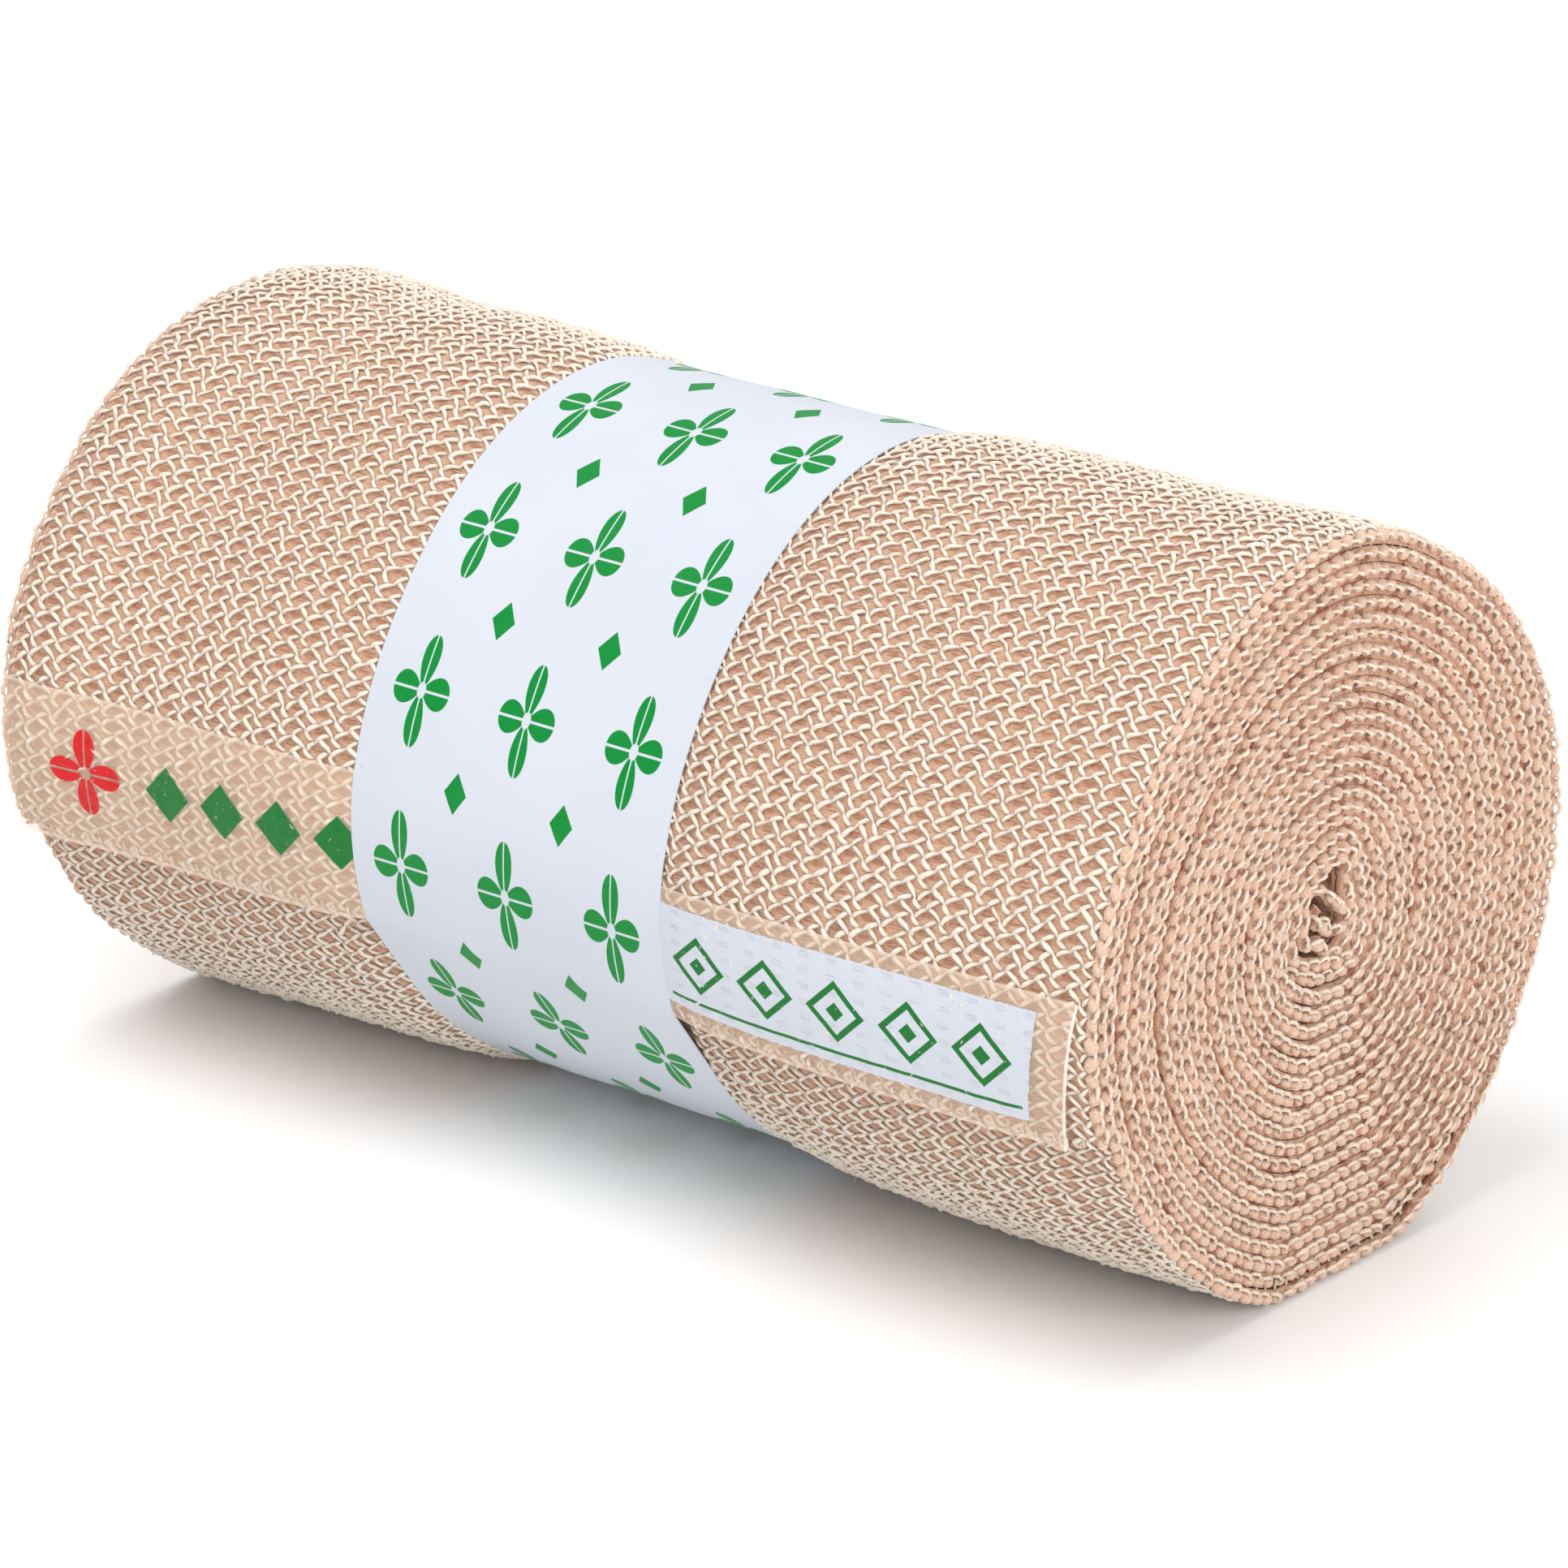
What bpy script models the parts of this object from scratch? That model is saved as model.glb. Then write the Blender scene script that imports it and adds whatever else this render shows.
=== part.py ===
"""A rolled compression bandage, in metres.

One long strip of thick crepe cloth is wound into a roll. A clear adhesive strip runs along its
loose end, and a paper band holds the roll round its middle.

The roll's axis lies along X. Angles are in degrees about that axis, from +Y towards +Z, so the
roll stands on 270. The cloth winds outwards as the angle grows. A point of the cloth is named by
how far it is wound back from the loose end, also in degrees, so 360 is one turn further in.
"""

import math

import bmesh
import bpy
from mathutils import Vector

# Cloth and its winding
ROLL_WIDTH = 0.120
ROLL_RADIUS = 0.0330
CLOTH_WALL = 0.00105
TURN_GAP = 0.0003
CORE_RADIUS = 0.0017
LOOSE_END_ANGLE = 200

# How far the roll departs from a true spiral
WAIST_DEPTH = 0.0018
BULGE_LENGTH = 0.0080
LOBE_HEIGHT = 0.0009
SAG = 0.0014
CORE_SHIFT_Y = -0.0013
CORE_SHIFT_Z = 0.0014
CORE_OVAL = 0.00045
CORE_OVAL_ANGLE = 143
SLOT_GAP = 0.0005
SLOT_ANGLE = 52
SLOT_SPREAD = 28
CORE_UNEVEN = 0.0040
CORE_EVEN = 0.0140
EDGE_WANDER = 0.0005

# Closing strip
STRIP_WALL = 0.0003
STRIP_WIDTH = 0.0138
STRIP_SHORT = 0.0032

# Paper band
BAND_WIDTH = 0.0345
BAND_OFFSET = -0.00245
BAND_WALL = 0.0003

CLEARANCE = 0.0003

PITCH = CLOTH_WALL + TURN_GAP
HALF_WIDTH = ROLL_WIDTH / 2
AXIS_HEIGHT = ROLL_RADIUS - SAG
STRIP_ARC = math.degrees(STRIP_WIDTH / ROLL_RADIUS)
BAND_LEFT = BAND_OFFSET - BAND_WIDTH / 2
BAND_RIGHT = BAND_OFFSET + BAND_WIDTH / 2

# Turns counted from the outside, and how many steps each of them is drawn with
TURN_STEPS = (
    # turns, steps
    (3, 36),
    (9, 24),
    (6, 16),
)
CORE_STEPS = 10

# Soft lobes round the roll: their height as a share of LOBE_HEIGHT
LOBES = (
    # angle, out
    (12, 0.3),
    (55, -0.5),
    (90, 1.0),
    (145, -0.9),
    (185, 0.3),
    (230, -0.3),
    (280, 1.0),
    (330, -0.9),
)

# Where the roll is pinched in, as a share of WAIST_DEPTH, on its top and on its underside
STATIONS = (
    # x, top, under
    (-HALF_WIDTH, -0.5, -0.5),
    (BAND_LEFT - BULGE_LENGTH, 0.15, 0.0),
    (BAND_LEFT, 1.0, 1.0),
    (BAND_RIGHT, 1.0, 1.0),
    (BAND_RIGHT + BULGE_LENGTH, 0.2, 0.1),
    (HALF_WIDTH, 0.0, 0.0),
)


def ease(share):
    """0 to 1 with soft ends."""
    share = min(1.0, max(0.0, share))
    return share * share * (3 - 2 * share)


def turned(angle, other):
    """The angle from one direction to another, between -180 and 180."""
    return (angle - other + 180) % 360 - 180


def lobe(angle):
    """How far the lobes push the rim out at this angle, from the table above."""
    rows = LOBES + ((LOBES[0][0] + 360, LOBES[0][1]),)
    angle = (angle - rows[0][0]) % 360 + rows[0][0]
    for (start, low), (end, high) in zip(rows, rows[1:]):
        if angle <= end:
            return LOBE_HEIGHT * (low + (high - low) * ease((angle - start) / (end - start)))


def plain_radius(wound_back):
    """The true spiral: the cloth's outer surface."""
    return ROLL_RADIUS - PITCH * wound_back / 360


def pinch(station, angle):
    """The share of the radius left by the waist, at one station along the roll."""
    _, top, under = station
    blend = 0.5 + 0.5 * math.sin(math.radians(angle))
    return 1 - WAIST_DEPTH / ROLL_RADIUS * (under + (top - under) * blend)


def free_radius(station, wound_back):
    """The cloth's outer surface before the roll settles on the ground."""
    angle = LOOSE_END_ANGLE - wound_back
    radius = plain_radius(wound_back)
    out = radius / ROLL_RADIUS
    core = 1 - ease((radius - CORE_UNEVEN) / (CORE_EVEN - CORE_UNEVEN))
    oval = math.cos(math.radians(2 * (angle - CORE_OVAL_ANGLE)))
    past_slot = ease((radius - CORE_RADIUS - PITCH) / PITCH)
    slot = math.exp(-((turned(angle, SLOT_ANGLE) / SLOT_SPREAD) ** 2)) * past_slot
    radius += lobe(angle) * out * out + (CORE_OVAL * oval + SLOT_GAP * slot) * core
    return radius * pinch(station, angle)


def settled(station, angle):
    """The share of the radius left where the roll's weight flattens its underside."""
    outermost = free_radius(station, (LOOSE_END_ANGLE - angle) % 360)
    down = -math.sin(math.radians(angle))
    return min(1.0, AXIS_HEIGHT / (outermost * down)) if down > 0 else 1.0


def cloth_edge(side, wound_back):
    """How far an edge of the cloth lies inside the roll's full width, which differs turn by turn."""
    turns = wound_back / 360
    wave = math.sin(2.1 * turns + side) * math.sin(0.7 * turns)
    return EDGE_WANDER * wave * wave


def around(x, radius, angle):
    """A point at this radius and angle about the roll's axis."""
    turn = math.radians(angle)
    return Vector((x, radius * math.cos(turn), AXIS_HEIGHT + radius * math.sin(turn)))


def cloth_point(station, wound_back, out=0.0):
    """A point on the cloth's outer surface, or above it by out."""
    angle = LOOSE_END_ANGLE - wound_back
    radius = free_radius(station, wound_back) * settled(station, angle) + out
    inward = PITCH / 360 * max(0, wound_back - 360) / ROLL_RADIUS
    x = station[0]
    if abs(x) == HALF_WIDTH:
        x -= math.copysign(cloth_edge(math.copysign(1, x), wound_back), x)
    shift = Vector((0, CORE_SHIFT_Y, CORE_SHIFT_Z)) * inward
    return around(x, radius, angle) + shift


def wound_steps():
    """Places along the cloth from its loose end in to its start."""
    length = 360 * (ROLL_RADIUS - CORE_RADIUS) / PITCH
    places = [0.0]
    for turns, steps in TURN_STEPS:
        places += [places[-1] + 360 / steps * (i + 1) for i in range(turns * steps)]
    places = [place for place in places if place <= length]
    while places[-1] + 360 / CORE_STEPS <= length:
        places.append(places[-1] + 360 / CORE_STEPS)
    return places


def strip_point(station, wound_back):
    """A point on the closing strip's outer surface."""
    return cloth_point(station, wound_back, CLEARANCE + STRIP_WALL)


def strip_steps():
    """Places along the cloth from the strip's lower edge to its upper one."""
    return [STRIP_ARC * share for share in (0, 1 / 3, 2 / 3, 1)]


def strip_stations():
    """The roll's stations, with the strip's near end short of the cloth's edge."""
    near = (HALF_WIDTH - STRIP_SHORT,) + STATIONS[-1][1:]
    far = (-HALF_WIDTH + CLEARANCE,) + STATIONS[0][1:]
    return (far,) + STATIONS[1:-1] + (near,)


def hull(points):
    """The convex outline of these points, counterclockwise, as flat pairs."""
    points = sorted(points)

    def half(ordered):
        chain = []
        for point in ordered:
            while len(chain) > 1 and cross(chain[-2], chain[-1], point) <= 0:
                chain.pop()
            chain.append(point)
        return chain[:-1]

    return half(points) + half(points[::-1])


def cross(a, b, c):
    """Positive where the way from a by b to c turns left."""
    return (b[0] - a[0]) * (c[1] - a[1]) - (b[1] - a[1]) * (c[0] - a[0])


def band_outline():
    """What the paper band is stretched round: the roll's waist with the closing strip on it."""
    waist = STATIONS[2]
    section = [cloth_point(waist, place) for place in wound_steps() if place <= 360]
    section += [strip_point(waist, place) for place in strip_steps()]
    return hull([(point.y, point.z - AXIS_HEIGHT) for point in section])


def material(name, colour, roughness):
    made = bpy.data.materials.new(name)
    made.use_nodes = True
    shader = made.node_tree.nodes["Principled BSDF"]
    shader.inputs["Base Color"].default_value = (*colour, 1)
    shader.inputs["Roughness"].default_value = roughness
    made.diffuse_color = (*colour, 1)
    return made


def finish(name, bm, wall, made_of, collection):
    """Makes the open surface in bm an object with a wall of even thickness on its inner side."""
    mesh = bpy.data.meshes.new(name)
    bm.to_mesh(mesh)
    bm.free()
    mesh.materials.append(made_of)
    mesh.shade_smooth()
    mesh.set_sharp_from_angle(angle=math.radians(40))
    piece = bpy.data.objects.new(name, mesh)
    collection.objects.link(piece)
    solid = piece.modifiers.new("Wall", "SOLIDIFY")
    solid.thickness = wall
    solid.offset = -1
    solid.use_even_offset = True
    return piece


def sheet(columns, rows, point):
    """A grid, bent so that each of its vertices lies at the point for its column and row."""
    bm = bmesh.new()
    across, along = len(columns) - 1, len(rows) - 1
    bmesh.ops.create_grid(bm, x_segments=across, y_segments=along, size=1)
    for vert in bm.verts:
        column = columns[round((vert.co.x + 1) / 2 * across)]
        row = rows[round((1 - vert.co.y) / 2 * along)]
        vert.co = point(column, row)
    bmesh.ops.reverse_faces(bm, faces=bm.faces)
    return bm


def bandage_roll(collection):
    cloth = material("bandage_cloth", (0.80, 0.60, 0.47), 0.85)
    bm = sheet(STATIONS, wound_steps(), cloth_point)
    return finish("bandage_roll", bm, CLOTH_WALL, cloth, collection)


def closing_strip(collection):
    film = material("closing_film", (0.76, 0.62, 0.50), 0.3)
    bm = sheet(strip_stations(), strip_steps(), strip_point)
    return finish("closing_strip", bm, STRIP_WALL, film, collection)


def paper_band(collection):
    paper = material("band_paper", (0.85, 0.87, 0.90), 0.45)
    outline = band_outline()
    steps = len(outline)
    bm = bmesh.new()
    bmesh.ops.create_cone(bm, segments=steps, radius1=1, radius2=1, depth=2, cap_ends=False)
    for vert in bm.verts:
        corner = round((math.atan2(vert.co.y, vert.co.x) / math.tau - 0.25) * steps) % steps
        y, z = outline[corner]
        x = BAND_OFFSET + vert.co.z * BAND_WIDTH / 2
        radius = math.hypot(y, z) + CLEARANCE + BAND_WALL
        vert.co = around(x, radius, math.degrees(math.atan2(z, y)))
    return finish("paper_band", bm, BAND_WALL, paper, collection)


def stand_on_origin(pieces):
    """Moves the pieces together so that their box stands centred on the origin."""
    graph = bpy.context.evaluated_depsgraph_get()
    corners = [Vector(corner) for piece in pieces for corner in piece.evaluated_get(graph).bound_box]
    low, high = ([pick(c[axis] for c in corners) for axis in range(3)] for pick in (min, max))
    for piece in pieces:
        piece.location = (-(low[0] + high[0]) / 2, -(low[1] + high[1]) / 2, -low[2])


def main():
    for old in list(bpy.data.objects):
        bpy.data.objects.remove(old)
    bandage = bpy.data.collections.new("compression_bandage")
    bpy.context.scene.collection.children.link(bandage)
    stand_on_origin([bandage_roll(bandage), closing_strip(bandage), paper_band(bandage)])


main()
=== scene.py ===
"""The looks of a rolled compression bandage: crepe cloth under a net of cream yarn, wound into a roll,
with a clear closing film along its loose end and a printed paper band round its middle.

Metres, in the CAD's frame. The roll's axis lies along X. Angles are in degrees about that axis, from
+Y towards +Z. A place on the cloth is named by x and by back, which is how far it is wound back from
the loose end, in degrees.
"""

import math

import bmesh
import bpy
import numpy as np
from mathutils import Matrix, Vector


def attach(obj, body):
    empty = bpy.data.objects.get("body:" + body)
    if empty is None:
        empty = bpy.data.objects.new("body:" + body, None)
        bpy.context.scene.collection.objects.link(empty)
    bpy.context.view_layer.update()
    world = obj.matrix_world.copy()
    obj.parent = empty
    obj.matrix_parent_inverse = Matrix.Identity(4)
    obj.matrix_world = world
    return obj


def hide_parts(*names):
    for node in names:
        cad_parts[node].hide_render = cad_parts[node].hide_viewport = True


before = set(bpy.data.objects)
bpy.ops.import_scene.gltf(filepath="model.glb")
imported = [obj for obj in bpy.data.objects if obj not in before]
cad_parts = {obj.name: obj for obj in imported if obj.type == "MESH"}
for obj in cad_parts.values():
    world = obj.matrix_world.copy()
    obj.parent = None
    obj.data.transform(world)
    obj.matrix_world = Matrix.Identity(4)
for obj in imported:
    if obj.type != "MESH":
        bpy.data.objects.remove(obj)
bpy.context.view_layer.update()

bl_info = {
    "name": "Compression bandage",
    "version": (1, 0, 0),
    "blender": (4, 5, 0),
    "location": "View3D > Sidebar > Bandage",
    "description": "Builds a rolled crepe bandage with its closing film and paper band",
    "category": "Object",
}

# The roll, as in the part's source, but that the loose end lies a little higher round it
ROLL_WIDTH = 0.120
ROLL_RADIUS = 0.0330
PITCH = 0.00135
CORE_RADIUS = 0.0017
LOOSE_END_ANGLE = 197.5
SAG = 0.0014
WAIST_DEPTH = 0.0018
LOBE_HEIGHT = 0.0009
CORE_SHIFT_Y = -0.0013
CORE_SHIFT_Z = 0.0014
CORE_OVAL = 0.00045
CORE_OVAL_ANGLE = 143
CORE_UNEVEN = 0.0040
CORE_EVEN = 0.0140
BAND_WIDTH = 0.0345
BAND_OFFSET = -0.00245
STRIP_WIDTH = 0.0138
BAND_SEAM = 20.0
BAND_OVERLAP = 16.0
BAND_WALL = 0.00011
FLOOR_GAP = 0.00004

HALF_WIDTH = ROLL_WIDTH / 2
AXIS_HEIGHT = ROLL_RADIUS - SAG
BAND_LEFT = BAND_OFFSET - BAND_WIDTH / 2
BAND_RIGHT = BAND_OFFSET + BAND_WIDTH / 2
STRIP_ARC = math.degrees(STRIP_WIDTH / ROLL_RADIUS)
CLOTH_END = 360 * (ROLL_RADIUS - CORE_RADIUS) / PITCH

# The cloth's crepe ground, which lies under the net
GROUND_DEPTH = 0.00036
GROUND_WALL = 0.00094
INNER_DEPTH = 0.00003
INNER_WALL = 0.00130
EDGE_LOOP = 0.00042
EDGE_WANDER = 0.00055
CRUMPLE = 0.00034
CRUMPLE_FROM = 0.0030
CRUMPLE_OVER = 0.0045
TURN_WAVER = 0.00006
RIM_FROM = 0.0470
RIM_OVER = 0.0120
STITCH_SIZE = (0.00072, 0.00052, 0.00049)
STITCH_DEPTH = 0.00054
LOOP_RADIUS = 0.00018
LOOP_DEPTH = 0.00080

# The closing film, which narrows under the band and widens again to its near end
FILM_NEAR = 0.0568
FILM_SLANT = 0.0019
FILM_NARROWS = 0.145
FILM_WIDENS = 0.090
FILM_GAP = 0.00013
FILM_CURL = 0.00048
FILM_RIPPLE = 0.00003
FILM_WALL = 0.00008
FILM_GRID = (30, 130)

# The film's print, by x or up from its lower edge
FIELD_LOW = 0.0017
FIELD_HIGH = 0.0124
FIELD_NEAR = 0.05305
MARKS_UP = 0.0071
LINE_UP = 0.0029
RIGHT_MARK = 0.0193
RIGHT_STEP = 0.0075
LEFT_MARK = -0.0405
LEFT_STEP = 0.0065
LEAF_MARK = -0.0500
SOFT = 0.00005

# How far the band's print reaches from its middle, and how high the painted shade of the slits lies in the
# net's cells
PRINT_REACH = 0.0165
SHADED_SLIT_RISE = 0.00016

# The net: where it ends, how deep it lies in the cloth and under the band, and how its strands are
# held in where they reach beyond the cloth's edge
NET_END = 361.5
NET_DEPTH = 0.00034
BAND_PRESS = 0.00034
HELD_IN = 0.88
HELD_FROM = 0.00030
LOST_FROM = HALF_WIDTH - 0.0006

# The two strands of the net's cell, as shares of its width and height from their node
STRANDS = {
    "rising": (
        (-0.43, -0.64), (-0.375, -0.47), (-0.28, -0.30), (-0.17, -0.16), (0.0, 0.0),
        (0.09, 0.17), (0.20, 0.32), (0.31, 0.45), (0.42, 0.52),
    ),
    "falling": (
        (-0.385, 0.68), (-0.34, 0.555), (-0.23, 0.44), (-0.11, 0.28), (0.0, 0.0),
        (0.06, -0.16), (0.15, -0.31), (0.25, -0.44), (0.34, -0.58),
    ),
}

# Soft lobes round the roll, as a share of LOBE_HEIGHT
LOBES = np.array((
    # angle, out
    (12, 0.3),
    (55, -0.5),
    (90, 1.0),
    (145, -0.9),
    (185, 0.3),
    (230, -0.3),
    (280, 1.0),
    (330, -0.9),
    (372, 0.3),
))

# Where the cloth is pinched in, as a share of WAIST_DEPTH, on its top and on its underside
WAIST = np.array((
    # x, top, under
    (-0.0600, -0.42, -0.50),
    (-0.0565, -0.70, -0.60),
    (-0.0500, -0.35, -0.55),
    (-0.0430, 0.00, -0.40),
    (-0.0350, -0.06, -0.28),
    (-0.0270, 0.06, -0.12),
    (-0.0225, 0.22, 0.08),
    (-0.0203, 0.46, 0.36),
    (-0.0190, 0.64, 0.57),
    (-0.0160, 0.66, 0.60),
    (0.0110, 0.66, 0.76),
    (0.0141, 0.64, 0.74),
    (0.0155, 0.46, 0.58),
    (0.0180, 0.20, 0.36),
    (0.0220, 0.06, 0.10),
    (0.0330, -0.02, -0.16),
    (0.0450, 0.04, -0.12),
    (0.0550, -0.12, -0.14),
    (0.0600, -0.02, -0.10),
))

# Pockets left between the turns near the core
POCKETS = (
    # angle, gap, spread, from radius
    (68, 0.0015, 24, 0.0029),
    (208, 0.0012, 26, 0.0020),
    (312, 0.0004, 14, 0.0036),
)

# Places where the rim of one end stands out from the roll or in
RIMS = (
    # end, angle, out, spread
    (-1, 92, -0.0013, 24),
    (-1, 158, 0.0007, 30),
    (1, 330, 0.0005, 34),
    (1, 215, -0.0010, 34),
)


def ease(share):
    """0 to 1 with soft ends."""
    share = np.clip(share, 0.0, 1.0)
    return share * share * (3 - 2 * share)


def turned(angle, other):
    """The angle from one direction to another, between -180 and 180."""
    return (angle - other + 180) % 360 - 180


def through(value, places, heights, slopes):
    """Reads a table between its rows along a smooth curve."""
    row = np.clip(np.searchsorted(places, value, side="right") - 1, 0, len(places) - 2)
    step = places[row + 1] - places[row]
    share = np.clip((value - places[row]) / step, 0.0, 1.0)
    rise = (share**3 - 2 * share**2 + share) * slopes[row] * step
    fall = (share**3 - share**2) * slopes[row + 1] * step
    return heights[row] + (heights[row + 1] - heights[row]) * ease(share) + rise + fall


def lobe(angle):
    """How far the lobes push the rim out at this angle."""
    angle = (angle - LOBES[0, 0]) % 360 + LOBES[0, 0]
    return LOBE_HEIGHT * through(angle, LOBES[:, 0], LOBES[:, 1], np.zeros(len(LOBES)))


def pinch(x, angle):
    """The share of the radius left by the waist."""
    places = WAIST[:, 0]
    top, under = (
        through(x, places, WAIST[:, side], np.gradient(WAIST[:, side], places))
        for side in (1, 2)
    )
    blend = 0.5 + 0.5 * np.sin(np.radians(angle))
    return 1 - WAIST_DEPTH / ROLL_RADIUS * (under + (top - under) * blend)


def free_radius(x, back):
    """The cloth's outer surface before the roll settles."""
    angle = LOOSE_END_ANGLE - back
    plain = ROLL_RADIUS - PITCH * back / 360
    out = plain / ROLL_RADIUS
    core = 1 - ease((plain - CORE_UNEVEN) / (CORE_EVEN - CORE_UNEVEN))
    oval = np.cos(np.radians(2 * (angle - CORE_OVAL_ANGLE)))
    radius = plain + lobe(angle) * out * out + CORE_OVAL * oval * core
    for pocket, gap, spread, start in POCKETS:
        past = ease((plain - start) / PITCH)
        fade = 1 - ease((plain - start) / (CORE_EVEN - start))
        radius += gap * np.exp(-((turned(angle, pocket) / spread) ** 2)) * past * fade
    crumpled = 1 - ease((plain - CRUMPLE_FROM) / CRUMPLE_OVER)
    folds = np.sin(np.radians(2.3 * angle)) + 0.5 * np.sin(np.radians(4.7 * angle))
    radius += CRUMPLE * folds * crumpled
    for end, middle, rise, spread in RIMS:
        near_end = ease((end * x - RIM_FROM) / RIM_OVER)
        radius += rise * np.exp(-((turned(angle, middle) / spread) ** 2)) * near_end * out * out
    inside = ease(back / 360 - 1)
    radius += TURN_WAVER * np.sin(back / 360 * 2.4) * np.sin(np.radians(angle * 1.5)) * inside
    return radius * pinch(x, angle)


def settled(x, angle):
    """The share of the radius left where the roll's weight flattens its underside."""
    outermost = free_radius(x, (LOOSE_END_ANGLE - angle) % 360)
    down = np.maximum(-np.sin(np.radians(angle)), 1e-6)
    return np.minimum(1.0, AXIS_HEIGHT / (outermost * down))


def on_roll(x, back, out=0.0):
    """Points above the cloth's outer surface by out."""
    x, back, out = np.broadcast_arrays(x, back, out)
    angle = LOOSE_END_ANGLE - back
    radius = free_radius(x, back) * settled(x, angle) + out
    inward = PITCH / 360 * np.maximum(0, back - 360) / ROLL_RADIUS
    turn = np.radians(angle)
    y = radius * np.cos(turn) + CORE_SHIFT_Y * inward
    z = AXIS_HEIGHT + radius * np.sin(turn) + CORE_SHIFT_Z * inward
    return np.stack([x, y, np.maximum(z, FLOOR_GAP)], axis=-1)


def back_at(length):
    """How far the place at this length of cloth from the loose end is wound back."""
    root = np.sqrt(np.maximum(ROLL_RADIUS**2 - PITCH * length / math.pi, 0))
    return np.degrees((ROLL_RADIUS - root) * math.tau / PITCH)


def length_at(back):
    """The length of cloth from the loose end to this place."""
    turn = np.radians(back)
    return ROLL_RADIUS * turn - PITCH * turn * turn / (4 * math.pi)


def edge_inset(side, back):
    """How far an edge of the cloth lies inside the roll's full width."""
    turns = back / 360
    wave = np.sin(2.1 * turns + side) * np.sin(0.7 * turns + 0.4)
    local = np.sin(np.radians(back) * 0.9 + 5 * side) * np.sin(np.radians(back) * 0.37)
    return EDGE_WANDER * (0.55 * wave * wave + 0.45 * local * local)


def edge_x(side, back):
    """Where the ground ends under its edge loops, on the side of this sign."""
    return side * (HALF_WIDTH - EDGE_LOOP - edge_inset(side, back))


# Meshes


def made_object(name, mesh):
    piece = bpy.data.objects.new(name, mesh)
    bpy.context.scene.collection.objects.link(piece)
    return piece


def slab_piece(name, points, faces, places):
    """A smooth piece with outward faces, and its flat place on the cloth as an attribute."""
    points = np.asarray(points, float).reshape(-1, 3)
    faces = np.asarray(faces)
    volume = sum(np.linalg.det(points[faces[:, half]]).sum() for half in ([0, 1, 2], [0, 2, 3]))
    if volume < 0:
        faces = faces[:, ::-1]
    mesh = bpy.data.meshes.new(name)
    mesh.from_pydata(points.tolist(), [], faces.tolist())
    mesh.shade_smooth()
    store_places(mesh, places)
    mesh.set_sharp_from_angle(angle=math.radians(50))
    return made_object(name, mesh)


def store_places(mesh, places):
    attribute = mesh.attributes.new("flat_place", "FLOAT_VECTOR", "POINT")
    attribute.data.foreach_set("vector", np.asarray(places, np.float32).ravel())


def slab_faces(rows, columns):
    """The faces of a closed slab: an outer grid, an inner one after it, and the border between."""
    index = np.arange(rows * columns).reshape(rows, columns)
    quads = np.stack([index[:-1, :-1], index[:-1, 1:], index[1:, 1:], index[1:, :-1]], axis=-1)
    outer = quads.reshape(-1, 4)
    inner = outer[:, ::-1] + rows * columns
    rim = np.concatenate([index[0], index[1:, -1], index[-1, -2::-1], index[-2:0:-1, 0]])
    after = np.roll(rim, -1)
    border = np.stack([after, rim, rim + rows * columns, after + rows * columns], axis=-1)
    return np.concatenate([outer, inner, border])


def slab(outer, inner):
    """Points and faces of a closed slab between two grids of points."""
    rows, columns = outer.shape[:2]
    points = np.concatenate([outer.reshape(-1, 3), inner.reshape(-1, 3)])
    return points, slab_faces(rows, columns)


# A direction that no thread runs in
OFF_AXIS = (0.31, 0.17, 0.93)


def tube(name, line, radius, sides):
    """A closed tube along a line, which tapers if radius holds a number for each point."""
    line = np.asarray(line, float)
    ahead = np.gradient(line, axis=0)
    ahead /= np.linalg.norm(ahead, axis=1)[:, None]
    across = np.cross(ahead, OFF_AXIS)
    across /= np.linalg.norm(across, axis=1)[:, None]
    over = np.cross(ahead, across)
    turn = np.arange(sides) / sides * math.tau
    size = np.broadcast_to(radius, len(line))[:, None, None]
    ring = across[:, None] * np.cos(turn)[:, None] + over[:, None] * np.sin(turn)[:, None]
    points = (line[:, None] + ring * size).reshape(-1, 3)
    faces = []
    for step in range(len(line) - 1):
        for side in range(sides):
            here, there = step * sides + side, step * sides + (side + 1) % sides
            faces.append((here, there, there + sides, here + sides))
    faces.append(tuple(range(sides))[::-1])
    faces.append(tuple(range(len(points) - sides, len(points))))
    mesh = bpy.data.meshes.new(name)
    mesh.from_pydata(points.tolist(), [], faces)
    mesh.shade_smooth()
    bm = bmesh.new()
    bm.from_mesh(mesh)
    bmesh.ops.recalc_face_normals(bm, faces=bm.faces)
    bm.to_mesh(mesh)
    bm.free()
    return mesh


# Nodes


class Value:
    """What a node puts out, so that sums of nodes can be written as plain sums."""

    def __init__(self, socket):
        self.socket = socket
        self.tree = socket.id_data

    def __add__(self, other):
        return maths("ADD", self, other)

    def __sub__(self, other):
        return maths("SUBTRACT", self, other)

    def __rsub__(self, other):
        return maths("SUBTRACT", other, self)

    def __mul__(self, other):
        return maths("MULTIPLY", self, other)

    def __truediv__(self, other):
        return maths("DIVIDE", self, other)

    def __rtruediv__(self, other):
        return maths("DIVIDE", other, self)

    def __abs__(self):
        return maths("ABSOLUTE", self)


def connect(value, socket):
    """Links a value to an input, or sets the input where it is a plain number."""
    if isinstance(value, Value):
        socket.id_data.links.new(value.socket, socket)
    else:
        socket.default_value = value


def add(tree, kind, inputs=None, output=0, **settings):
    """What a new node puts out, with these settings and inputs."""
    made = tree.nodes.new(kind)
    for name, value in settings.items():
        setattr(made, name, value)
    for key, value in (inputs or {}).items():
        connect(value, made.inputs[key])
    return Value(made.outputs[output])


def tree_of(values):
    return next(value.tree for value in values if isinstance(value, Value))


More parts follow.
